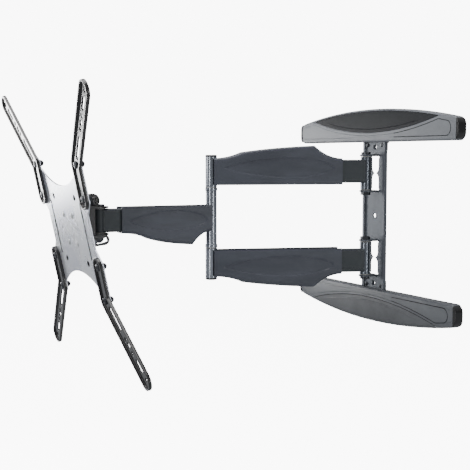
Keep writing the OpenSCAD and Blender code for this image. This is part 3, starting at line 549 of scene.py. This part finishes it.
# %% Sizes of a wing cover
cover_box, caps_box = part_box("top_cover"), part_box("top_end_caps")
cover_half, caps_half = cover_box[1].x, caps_box[1].x
cover_low, cover_high, cover_depth = cover_box[0].z, cover_box[1].z, -cover_box[0].y
spine_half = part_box("wall_spine")[1].x
bow_sag, end_round, edge_round = 21 * mm, 12 * mm, 3.2 * mm
bow_r = (caps_half ** 2 + bow_sag ** 2) / (2 * bow_sag)
lens_half, lens_sag, lens_floor = 175 * mm, 23 * mm, cover_low + 15 * mm
lens_r = (lens_half ** 2 + lens_sag ** 2) / (2 * lens_sag)
cover_wall, inlay_wall, seat_depth = 2.0 * mm, 0.5 * mm, 1.0 * mm
low_groove, lens_groove = 7.5 * mm, 4.5 * mm
seam_from, seam_to, seam_r = 64 * mm, 191 * mm, 0.6 * mm


def cover_bounds(x):
    """The lowest and highest place of a cover at x."""
    x = abs(x)
    high = cover_high - bow_r + math.sqrt(bow_r ** 2 - x ** 2)
    over = max(0.0, x - (caps_half - end_round))
    bite = end_round - math.sqrt(max(0.0, end_round ** 2 - over ** 2))
    return cover_low + bite, high - bite


def lens_edge(x):
    low, high = cover_bounds(x)
    curve = lens_floor + lens_r - math.sqrt(lens_r ** 2 - x ** 2)
    return min(curve, high - edge_round - 0.6 * mm)


def crown(x, z):
    """How far the front stands off the wall at a place."""
    low, high = cover_bounds(x)
    share = (z - low) / (high - low) * 2 - 1
    return cover_depth - 1.5 * mm + 1.45 * mm * (1 - share ** 2) * (1 - 0.5 * (x / caps_half) ** 2)


def cover_sections(side):
    """The sections of a cover on the wing above (side 1) or below (side -1)."""
    stations = sorted(set(steps(-cover_half, cover_half, 200)
                          + [s * (spine_half + d) for s in (-1, 1) for d in (0.9 * mm, 1.1 * mm)]))
    groove = [(-1.0, 0.0), (-0.45, 0.0), (0.0, 0.45), (0.45, 0.0), (1.0, 0.0)]
    made = []
    for x in stations:
        low, high = cover_bounds(x)
        lens = lens_edge(x)
        back = 9 * mm if abs(x) < spine_half + mm else 0.2 * mm
        seat = seat_depth * (1 - ease(abs(x), lens_half - 4 * mm, lens_half + 2 * mm))
        first, last = low + edge_round, high - edge_round
        points = [(back, low)] + [(d, low) for d in steps(back, crown(x, first) - edge_round, 3)[1:]]
        for a in steps(0, 90, 5)[1:]:
            a = math.radians(a)
            points.append((crown(x, first) - edge_round * (1 - math.sin(a)), first - edge_round * math.cos(a)))
        fade = ease(abs(x), 30 * mm, 90 * mm)
        upper, lower = lens - lens_groove, low + low_groove
        rows = [(first + 0.8 * mm, 0)]
        rows += [(lower + dz * mm, dy * mm * fade) for dz, dy in groove]
        gap = upper - mm - (lower + mm)
        rows += [(lower + mm + gap * t / 4, 0) for t in (1, 2, 3)]
        rows += [(upper + dz * mm, dy * mm) for dz, dy in groove]
        rows += [(lens - 2.5 * mm, 0), (lens - 1.0 * mm, 0), (lens - 0.5 * mm, 0.05 * mm), (lens, seat)]
        rows += [(lens + (last - lens) * t / 6, seat) for t in (1, 2, 3, 4, 5)]
        rows += [(last - 0.1 * mm, seat), (last + 0.02 * mm, 0)]
        points += [(crown(x, z) - dip, z) for z, dip in rows]
        for a in steps(0, 90, 5)[1:]:
            a = math.radians(a)
            points.append((crown(x, last) - edge_round * (1 - math.cos(a)), last + edge_round * math.sin(a)))
        points += [(d, high) for d in steps(crown(x, last) - edge_round, 0.2 * mm, 3)[1:]]
        made.append([Vector((x, -y, side * z)) for y, z in points])
    return made


# %% Seams and trims
def skin(name, rows, hollow=False, angle=32.0):
    """A closed piece from rings of points; a hollow one joins its last ring to its first.

    Edges over the angle are sharp; with no angle, only the flat ends are.
    """
    work = bmesh.new()
    rings = [[work.verts.new(place) for place in row] for row in rows]
    for a, b in zip(rings, rings[1:] + (rings[:1] if hollow else [])):
        for i in range(len(a)):
            j = (i + 1) % len(a)
            work.faces.new((a[i], a[j], b[j], b[i]))
    if not hollow:
        work.faces.new(rings[0][::-1])
        work.faces.new(rings[-1])
    bmesh.ops.recalc_face_normals(work, faces=work.faces)
    mesh = bpy.data.meshes.new(name)
    work.to_mesh(mesh)
    work.free()
    for p in mesh.polygons:
        p.use_smooth = bool(angle) or len(p.vertices) == 4
    if angle:
        mesh.set_sharp_from_angle(angle=math.radians(angle))
    return new_object(name, mesh)


def around(count):
    """Angles spread evenly round a circle."""
    return [2 * math.pi * i / count for i in range(count)]


def strand(name, path, radius, count=10):
    """A thin round bead laid along a path, closed at both ends."""
    rows = []
    for i, place in enumerate(path):
        way = (path[min(i + 1, len(path) - 1)] - path[max(i - 1, 0)]).normalized()
        out = Vector((0, -1, 0))
        out = (out - way * out.dot(way)).normalized()
        side = way.cross(out)
        rows.append([place + radius * (math.cos(a) * out + math.sin(a) * side) for a in around(count)])
    it = skin(name, rows, angle=None)
    mark_edges(it.data, lambda p: False)
    return it


def seam_path():
    """The outline of the panel at the right end of a wing cover, a long drop with a round end."""
    floor_z = cover_low + low_groove

    def roof_z(x):
        bow = cover_high - bow_r + math.sqrt(bow_r ** 2 - x ** 2)
        curve = lens_floor + lens_r - math.sqrt(lens_r ** 2 - min(x, lens_half) ** 2)
        return min(curve - lens_groove, bow - 8.5 * mm)
    tall = (roof_z(seam_to) - floor_z) / 2
    along = steps(seam_from, seam_to, 44)
    path = [(x, floor_z) for x in along]
    path += [(seam_to + tall * math.sin(a), floor_z + tall - tall * math.cos(a))
             for a in steps(0, math.pi, 16)[1:-1]]
    return path + [(x, roof_z(x)) for x in along[::-1]]


def lay_bead(name, path, side, sunk, radius, paint):
    """Lays a bead along (x, z) places on the front of a cover, sunk into it."""
    places = [Vector((x, sunk - crown(x, z), side * z)) for x, z in path]
    finished(strand(name, places, radius), "wall_bracket", paint)


# %% Wing covers and their inlays
def inlay_sections(side):
    """The sections of the inlay that lies in a cover's seat."""
    made = []
    for x in steps(-lens_half + 3 * mm, lens_half - 3 * mm, 150):
        low, high = cover_bounds(x)
        start, stop = lens_edge(x) + 0.35 * mm, high - edge_round - 0.15 * mm
        room = max(stop - start, 0.2 * mm)
        bead = 6.0 * mm
        show = ease(room, 14 * mm, 20 * mm)
        rows = [(0.0, 0.9), (0.12, 0.62), (0.4, 0.48)]
        rows += [(bead / mm + d, 0.48 - h * show) for d, h in
                 ((-1.2, 0), (-0.7, 0), (-0.35, 0.26), (0.0, 0.36), (0.35, 0.26), (0.7, 0), (1.2, 0))]
        top = room / mm
        scale = min(1.0, (top - 1.2) / (bead / mm + 1.4)) if top > 1.4 else 0.1
        rows = [(d * scale if d > 0.4 else min(d, top * 0.4), h) for d, h in rows]
        last = rows[-1][0]
        rows += [(last + (top - 0.4 - last) * t / 5, 0.48) for t in (1, 2, 3, 4, 5)]
        rows += [(top - 0.12, 0.62), (top, 0.9)]
        made.append([Vector((x, -(crown(x, start + d * mm) - h * mm), side * (start + d * mm))) for d, h in rows])
    return made


# Painted light and shade: the top cover gets the lit copy of the cover colour and the shaded copy of the inlay
# colour, and the bottom cover gets the other two.
for side, word, paint, inlay_paint in ((1, "top", "silver_cover", "dark_inlay"),
                                       (-1, "bottom", "grey_cover", "grey_inlay")):
    middle = side * (cover_low + cover_high) / 2
    cover = loft(word + "_cover_shell", cover_sections(side))
    face_outwards(cover, lambda c: Vector((c.x, 0, middle)))
    grow_wall(cover, cover_wall)
    smooth(cover)
    mark_edges(cover.data, lambda p: 0.1 < abs(p.normal.z) < 0.9 and abs(p.normal.y) > 0.1)
    finished(cover, "wall_bracket", paint, word + "_cover")
    inlay = loft(word + "_cover_inlay", inlay_sections(side))
    face_outwards(inlay, lambda c: Vector((c.x, 0, c.z)))
    grow_wall(inlay, inlay_wall)
    smooth(inlay)
    mark_edges(inlay.data, lambda p: 0.2 < abs(p.normal.z) < 0.98 and p.area < 3e-6)
    finished(inlay, "wall_bracket", inlay_paint, word + "_inlay")
    lay_bead(word + "_seam", seam_path(), side, 0.2 * mm, seam_r, "matt_rubber")
    # On the bottom cover only, a matt black bead along the inlay's lower edge: painted shade of the seat step, which
    # faces down there.
    if side < 0:
        rim = [(x, lens_edge(x)) for x in steps(-166 * mm, 166 * mm, 120)]
        lay_bead("bottom_inlay_rim", rim, side, 0.6 * mm, seam_r, "matt_rubber")
    # A pale bead along the groove on the bow of each inlay: painted highlight.
    arc = [(x, lens_edge(x) + 6.4 * mm) for x in steps(-98 * mm, 98 * mm, 90)]
    lay_bead(word + "_inlay_line", arc, side, 0.55 * mm, 0.4 * mm, "inlay_trim")

# %% [markdown]
# ## Arm covers
#
# Each arm wears a clip-on channel that hides the cables. Its closed side rises in
# a hollow ramp to a peak and falls away in a long curve, and its corners are
# well rounded. A leaf-shaped panel is let into each flank. The channel is lofted
# along the arm and then bored where the elbow column passes through.

# %% Arm covers
def pulled(a, b, c, count):
    """Points on a curve that starts at a, is pulled towards b, and ends at c."""
    return [((1 - t) ** 2 * a[0] + 2 * t * (1 - t) * b[0] + t * t * c[0],
             (1 - t) ** 2 * a[1] + 2 * t * (1 - t) * b[1] + t * t * c[1]) for t in steps(0, 1, count)]


def ridge(length, ramp, base, rise):
    """The height of a cover's closed side, as a function of distance from its ramp end."""
    tail = 46 * mm
    peak, knee = (ramp, base + rise), (length - tail, base + 0.48 * rise)
    line = (pulled((0, base), (0.55 * ramp, base + mm), peak, 12)
            + pulled(peak, (0.55 * length, base + 0.85 * rise), knee, 14)[1:]
            + pulled(knee, (length - 0.6 * tail, base + mm), (length, base), 12)[1:])

    def height(s):
        for (s0, h0), (s1, h1) in zip(line, line[1:]):
            if s <= s1:
                return h0 + (h1 - h0) * (s - s0) / max(s1 - s0, 1e-9)
        return line[-1][1]
    return height


def leaf(s, z, leaf_from, leaf_to, z_mid, half):
    """How deep a leaf-shaped panel is let in at a place on a flank, from 0 to 1."""
    t = (s - leaf_from) / (leaf_to - leaf_from)
    if t <= 0 or t >= 1:
        return 0.0
    room = half * math.sin(math.pi * t ** 0.8) ** 0.75
    return ease(room - abs(z - z_mid), 0.0, 0.9 * mm) * ease(min(t, 1 - t), 0, 0.015)


def channel(name, at, start, length, ramp, tube_h, rise, up, z_tube, leaf_mid):
    """An arm cover round a tube; up is 1 where the closed side is on top."""
    base, low = tube_h / 2 + 2.3 * mm, -tube_h / 2 - 2.6 * mm
    half, r = 14 * mm, 4.5 * mm
    top = ridge(length, ramp, base, rise)
    made = []
    for s in steps(0, length, int(length / (1.3 * mm))):
        peak = top(s)
        flank = steps(low, peak - r, 44)
        section = []
        for side in (-1, 1):
            wall = []
            for z in flank:
                depth = leaf(s, z, 0.06 * length, 0.93 * length, leaf_mid, 0.26 * (base + rise - low))
                wall.append((side * (half - 0.95 * mm * depth - 0.25 * mm * ease(z, low + 2 * mm, low)), z))
            for a in steps(0, 90, 5)[1:]:
                a = math.radians(a)
                wall.append((side * (half - r + r * math.cos(a)), peak - r + r * math.sin(a)))
            section.append(wall)
        left, right = section
        roof = [(x, peak) for x in steps(-half + r, half - r, 6)[1:-1]]
        points = left + roof + right[::-1]
        made.append([at(start + s, x, z_tube + up * z) for x, z in points])
    it = loft(name, made)
    face_outwards(it, lambda c: at((c - at(0, 0, 0)).dot((at(1, 0, 0) - at(0, 0, 0)).normalized()), 0, z_tube))
    return grow_wall(it, 1.9 * mm)


def bore(it, centre, radius):
    """Bores a hole of this radius through a piece, along Z."""
    work = bmesh.new()
    bmesh.ops.create_cone(work, cap_ends=True, segments=72, radius1=radius, radius2=radius, depth=0.5)
    mesh = bpy.data.meshes.new("drill")
    work.to_mesh(mesh)
    work.free()
    mesh.transform(Matrix.Translation((centre.x, centre.y, 0)))
    drill = new_object("drill", mesh)
    cut = it.modifiers.new("bore", "BOOLEAN")
    cut.operation, cut.solver, cut.object = "DIFFERENCE", "EXACT", drill
    apply_modifiers(it)
    bpy.data.objects.remove(drill)
    return it


def fit_channel(it, radius, body, node):
    """Bores a channel for the elbow column and dresses it."""
    bore(it, elbow, radius)
    smooth(it)
    mark_edges(it.data, lambda p: 0.15 < abs(p.normal.z) < 0.9 and p.area < 4e-6)
    finished(it, body, "arm_plastic", node)


rear_start, rear_gap, front_start, front_gap = 44 * mm, 3 * mm, 3 * mm, 33 * mm
rear_ramp, rear_rise, rear_bore = 47 * mm, 20.7 * mm, 10 * mm
front_ramp, front_rise, front_bore = 34 * mm, 21.5 * mm, 10.5 * mm
z_rear = (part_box("upper_rear_tube")[0].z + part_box("upper_rear_tube")[1].z) / 2
h_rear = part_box("upper_rear_tube")[1].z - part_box("upper_rear_tube")[0].z
h_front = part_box("front_tube")[1].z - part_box("front_tube")[0].z
for name, node, up in (("upper_arm_channel", "upper_rear_cover", 1), ("lower_arm_channel", "lower_rear_cover", -1)):
    it = channel(name, on_rear, rear_start, rear_length - rear_start - rear_gap, rear_ramp, h_rear, rear_rise,
                 up, up * z_rear, 6 * mm)
    fit_channel(it, rear_bore, "rear_arms", node)
it = channel("front_arm_channel", on_front, front_start, front_length - front_start - front_gap, front_ramp,
             h_front, front_rise, -1, 0, 2 * mm)
fit_channel(it, front_bore, "front_arm", "front_cover")

# %% [markdown]
# ## Screws, nuts and rivets
#
# The same few fixings are used again and again, so each kind is turned once and
# then set out by Geometry Nodes: the points say where each one goes and which way
# it looks, and a random twist stops the sockets from lining up, as they never do
# on a real one. `turned` makes a piece from rings; a ring can be round, six-sided
# or cross-shaped.

# %% turned()
def reach(shape, angle):
    """How far a unit ring of this shape reaches at an angle."""
    if shape == "hex":
        part = (angle % (math.pi / 3)) - math.pi / 6
        return math.cos(math.pi / 6) / math.cos(part)
    if shape == "cross":
        x, y = abs(math.cos(angle)), abs(math.sin(angle))
        return min(1.0, 0.24 / max(min(x, y), 1e-6))
    return 1.0


def turned(name, rings, count=36, hollow=False):
    """A closed piece round Z from (radius, height, shape) rings, bottom first."""
    def ring(radius, height, shape):
        reaches = [(radius * reach(shape, a), a) for a in around(count)]
        return [(r * math.cos(a), r * math.sin(a), height) for r, a in reaches]
    return skin(name, [ring(*one) for one in rings], hollow)


# %% Geometry Nodes: set a piece on every point
def setting_tree():
    """The node tree that sets a piece on every point, turned as the point says."""
    tree = bpy.data.node_groups.new("set_out", "GeometryNodeTree")
    for name, kind in (("Points", "NodeSocketGeometry"), ("Piece", "NodeSocketObject"), ("Size", "NodeSocketFloat"),
                       ("Twist", "NodeSocketFloat"), ("Seed", "NodeSocketInt"), ("Paint", "NodeSocketMaterial")):
        tree.interface.new_socket(name, in_out="INPUT", socket_type=kind)
    tree.interface.new_socket("Geometry", in_out="OUTPUT", socket_type="NodeSocketGeometry")
    add = lambda kind: tree.nodes.new(kind)
    entry, leave = add("NodeGroupInput"), add("NodeGroupOutput")
    info, put, real, dress = (add("GeometryNodeObjectInfo"), add("GeometryNodeInstanceOnPoints"),
                              add("GeometryNodeRealizeInstances"), add("GeometryNodeSetMaterial"))
    turn, chance, pack, both = (add("GeometryNodeInputNamedAttribute"), add("FunctionNodeRandomValue"),
                                add("ShaderNodeCombineXYZ"), add("FunctionNodeRotateEuler"))
    turn.data_type, both.space = "FLOAT_VECTOR", "LOCAL"
    turn.inputs["Name"].default_value = "turn"
    link = tree.links.new
    link(entry.outputs["Points"], put.inputs["Points"])
    link(entry.outputs["Piece"], info.inputs["Object"])
    link(info.outputs["Geometry"], put.inputs["Instance"])
    link(entry.outputs["Size"], put.inputs["Scale"])
    link(entry.outputs["Twist"], chance.inputs[3])
    link(entry.outputs["Seed"], chance.inputs["Seed"])
    link(chance.outputs[1], pack.inputs["Z"])
    link(turn.outputs[0], both.inputs[0])
    link(pack.outputs[0], both.inputs[1])
    link(both.outputs[0], put.inputs["Rotation"])
    link(put.outputs[0], real.inputs[0])
    link(real.outputs[0], dress.inputs["Geometry"])
    link(entry.outputs["Paint"], dress.inputs["Material"])
    link(dress.outputs[0], leave.inputs[0])
    return tree


set_out = setting_tree()


def place_pieces(name, piece, spots, paint, twist=0.0, seed=7, size=1.0):
    """Sets a piece on every (place, direction) and returns one plain mesh."""
    mesh = bpy.data.meshes.new(name)
    mesh.from_pydata([tuple(place) for place, _ in spots], [], [])
    turn = mesh.attributes.new("turn", "FLOAT_VECTOR", "POINT")
    turn.data.foreach_set("vector", [c for _, way in spots for c in Vector(way).to_track_quat("Z", "Y").to_euler()])
    it = new_object(name, mesh)
    modifier = it.modifiers.new("set out", "NODES")
    modifier.node_group = set_out
    sockets = {s.name: s.identifier for s in set_out.interface.items_tree if s.in_out == "INPUT"}
    for socket, value in (("Piece", piece), ("Size", size), ("Twist", twist), ("Seed", seed),
                          ("Paint", finish[paint].material)):
        modifier[sockets[socket]] = value
    apply_modifiers(it)
    mark_edges(it.data, lambda p: False)
    bpy.data.objects.remove(piece)
    return it


# %% Claw bolts and cap nuts
claw_floor = 2.5 * mm
bolt_rings = [(2.95, -5, "round"), (2.95, 0, "round"), (5.3, 0, "round"), (5.5, 0.25, "round"), (5.45, 1.2, "round"),
              (4.9, 2.3, "round"), (3.9, 2.85, "round"), (2.6, 3.0, "round"), (2.3, 2.95, "hex"), (2.15, 2.6, "hex"),
              (2.15, 1.3, "hex"), (1.2, 1.1, "hex")]
both_signs = [(x, z) for x in (-1, 1) for z in (-1, 1)]
spots = [(x * 100 * mm, z * up * mm) for x, z in both_signs for up in (50, 100)]


def scale_rings(rings):
    return [(radius * mm, height * mm, shape) for radius, height, shape in rings]


bolts = place_pieces("claw_button_bolts", turned("button_bolt", scale_rings(bolt_rings)),
                     [(on_plate(x, z, plate_thick + claw_floor), plate_out) for x, z in spots], "bolt_plating", 6.28)
finished(bolts, "tilt_head", "bolt_plating", "claw_bolts")
nut_rings = [(3.05, -0.0, "round"), (5.6, 0, "hex"), (5.95, 0.4, "hex"), (5.95, 2.5, "hex"), (5.4, 2.95, "round"),
             (4.95, 3.3, "round"), (4.7, 4.6, "round"), (4.0, 5.9, "round"), (2.8, 6.9, "round"), (1.4, 7.7, "round"),
             (0.4, 7.9, "round")]
nuts = place_pieces("claw_cap_nuts", turned("cap_nut", scale_rings(nut_rings)),
                    [(on_plate(x, z, 0), -plate_out) for x, z in spots], "bolt_plating", 1.0, seed=3)
finished(nuts, "tilt_head", "bolt_plating", "claw_nuts")

# %% Rivets of the tilt bracket and screws of the spine
rivet_rings = [(2.45, -5.5, "round"), (2.45, -0.02, "round"), (4.3, 0, "round"), (4.4, 0.15, "round"),
               (4.2, 0.55, "round"), (3.2, 0.9, "round"), (1.5, 1.0, "round"), (0.4, 1.0, "round")]
rivet_x, rivet_z, bracket_thick = 20 * mm, 22 * mm, 3 * mm
rivet_spots = [(on_plate(x * rivet_x, z * rivet_z, out), way)
               for out, way in ((plate_thick, plate_out), (-bracket_thick, -plate_out))
               for x, z in both_signs]
rivets = place_pieces("bracket_rivet_heads", turned("rivet", scale_rings(rivet_rings)), rivet_spots, "rivet_steel")
finished(rivets, "tilt_head", "rivet_steel", "bracket_rivets")
screw_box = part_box("spine_screws")
screw_head, screw_seat = 3.3 * mm, 5.5 * mm
screw_x, screw_z = screw_box[1].x - screw_head, screw_box[1].z - screw_head
screw_rings = [(1.95, -5, "round"), (1.95, 0, "round"), (3.1, 0, "round"), (3.28, 0.3, "round"),
               (3.1, 1.2, "round"), (2.7, 1.75, "round"), (2.2, 1.95, "round"), (1.75, 1.95, "cross"),
               (1.6, 1.7, "cross"), (1.3, 0.9, "cross")]
screws = place_pieces("spine_cross_screws", turned("cross_screw", scale_rings(screw_rings), 48),
                      [(Vector((x * screw_x, -screw_seat, z * screw_z)), (0, -1, 0)) for x, z in both_signs],
                      "bolt_plating", 1.5, seed=11)
finished(screws, "wall_bracket", "bolt_plating", "spine_screws")

# %% Painted shade: black rings in the smaller hole pattern, and black strips along the fold lines
# The plate's holes and its fold lines lie in shade; black rings lining the holes and black strips on the folds paint
# that shade.
shade_ring_profile = [(2.55, -2.6, "round"), (4.7, -2.6, "round"), (4.7, -2.5, "round"), (4.6, 0.0, "round"),
              (4.4, 0.25, "round"), (3.8, 0.35, "round"), (3.0, 0.2, "round"), (2.55, -0.2, "round")]
hundred = [(on_plate(x * 50 * mm, z * 50 * mm, plate_thick), plate_out) for x, z in both_signs]
rings = place_pieces("hole_rings", turned("hole_ring", scale_rings(shade_ring_profile), hollow=True), hundred,
                     "black_plastic")
finished(rings, "tilt_head", "matt_rubber")
fold_x, fold_half, shadow_strip_r, shadow_strip_sunk = 70 * mm, 43 * mm, 1.8 * mm, 1.1 * mm
for side, word in ((-1, "left"), (1, "right")):
    strip = [on_plate(side * fold_x, z, plate_thick - shadow_strip_sunk) for z in steps(-fold_half, fold_half, 4)]
    finished(strand("fold_strip_" + word, strip, shadow_strip_r, 12), "tilt_head", "matt_rubber")

# %% [markdown]
# ## The tilt knob
#
# The knob is a moulded grip with a ring of ribs that a hand can turn. The body is
# turned, and the ribs are set out round it by the same tree as the screws.

# %% Tilt knob
knob_low, knob_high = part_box("tilt_knob")
knob_r, knob_h = (knob_high.y - knob_low.y) / 2, knob_high.x - knob_low.x
knob_at = Vector((knob_low.x, (knob_low.y + knob_high.y) / 2, (knob_low.z + knob_high.z) / 2))
core = turned("knob_body", [(r * knob_r, h * knob_h, shape) for r, h, shape in (
    (0.60, 0, "round"), (0.86, 0, "round"), (0.90, 0.04, "round"), (0.90, 0.70, "round"), (0.86, 0.80, "round"),
    (0.80, 0.90, "round"), (0.70, 0.965, "round"), (0.62, 0.99, "round"), (0.56, 1.0, "round"),
    (0.50, 0.99, "cross"), (0.46, 0.93, "cross"), (0.42, 0.80, "cross"))], 72)
body = place_pieces("tilt_knob_body", core, [(knob_at, (1, 0, 0))], "black_plastic")
finished(body, "knob", "black_plastic", "tilt_knob")
rib = turned("rib", [(0.2 * mm, 0, "round"), (0.62 * mm, 0.2 * mm, "round"), (0.66 * mm, 0.55 * knob_h, "round"),
                     (0.6 * mm, 0.72 * knob_h, "round"), (0.2 * mm, 0.76 * knob_h, "round")], 10)
rib_count, rib_ring, rib_start = 20, 0.91 * knob_r, 0.04 * knob_h
rib_spots = [(knob_at + Vector((rib_start, math.cos(a) * rib_ring, math.sin(a) * rib_ring)), (1, 0, 0))
             for a in around(rib_count)]
ribs = place_pieces("tilt_knob_ribs", rib, rib_spots, "black_plastic")
finished(ribs, "knob", "black_plastic")
print("fixings and knob ready")

# %% [markdown]
# ## The floor
#
# A wall mount hangs at about chest height, so the floor is far enough below for
# its shadow to be faint. It fades out a few metres away, so no edge of it shows,
# and it is put on no body of the mount.

# %% Floor
floor_mesh = bpy.data.meshes.new("floor")
work = bmesh.new()
bmesh.ops.create_grid(work, x_segments=8, y_segments=8, size=14)
work.to_mesh(floor_mesh)
work.free()
floor_mesh.transform(Matrix.Translation((0, 0, cad_box[0][2] - 0.75)))
floor = new_object("floor", floor_mesh)
pale = Finish("pale_floor", None, Roughness=0.9)
pale.set("Base Color", pale.blend(pale.noise(3.0), (0.80, 0.80, 0.81), (0.86, 0.86, 0.86)))
pale.shader.inputs["Emission Color"].default_value = (1, 1, 1, 1)
pale.shader.inputs["Emission Strength"].default_value = 9.0
away = pale.node("VectorMath", {"operation": "LENGTH"}, pale.node("TexCoord", {}, out="Object"), out="Value")
pale.set("Alpha", pale.step(away, 2.0, 7.0, 1.0, 0.0))
dim = pale.node("Emission", {}, Color=(0.42, 0.43, 0.45, 1), Strength=1.0)
seen = pale.node("LightPath", {}, out="Is Camera Ray")
both = pale.node("MixShader", {}, seen, dim, Level(pale, pale.shader.outputs[0]))
pale.tree.links.new(both.socket, pale.tree.nodes["Material Output"].inputs[0])
floor_mesh.materials.append(pale.material)
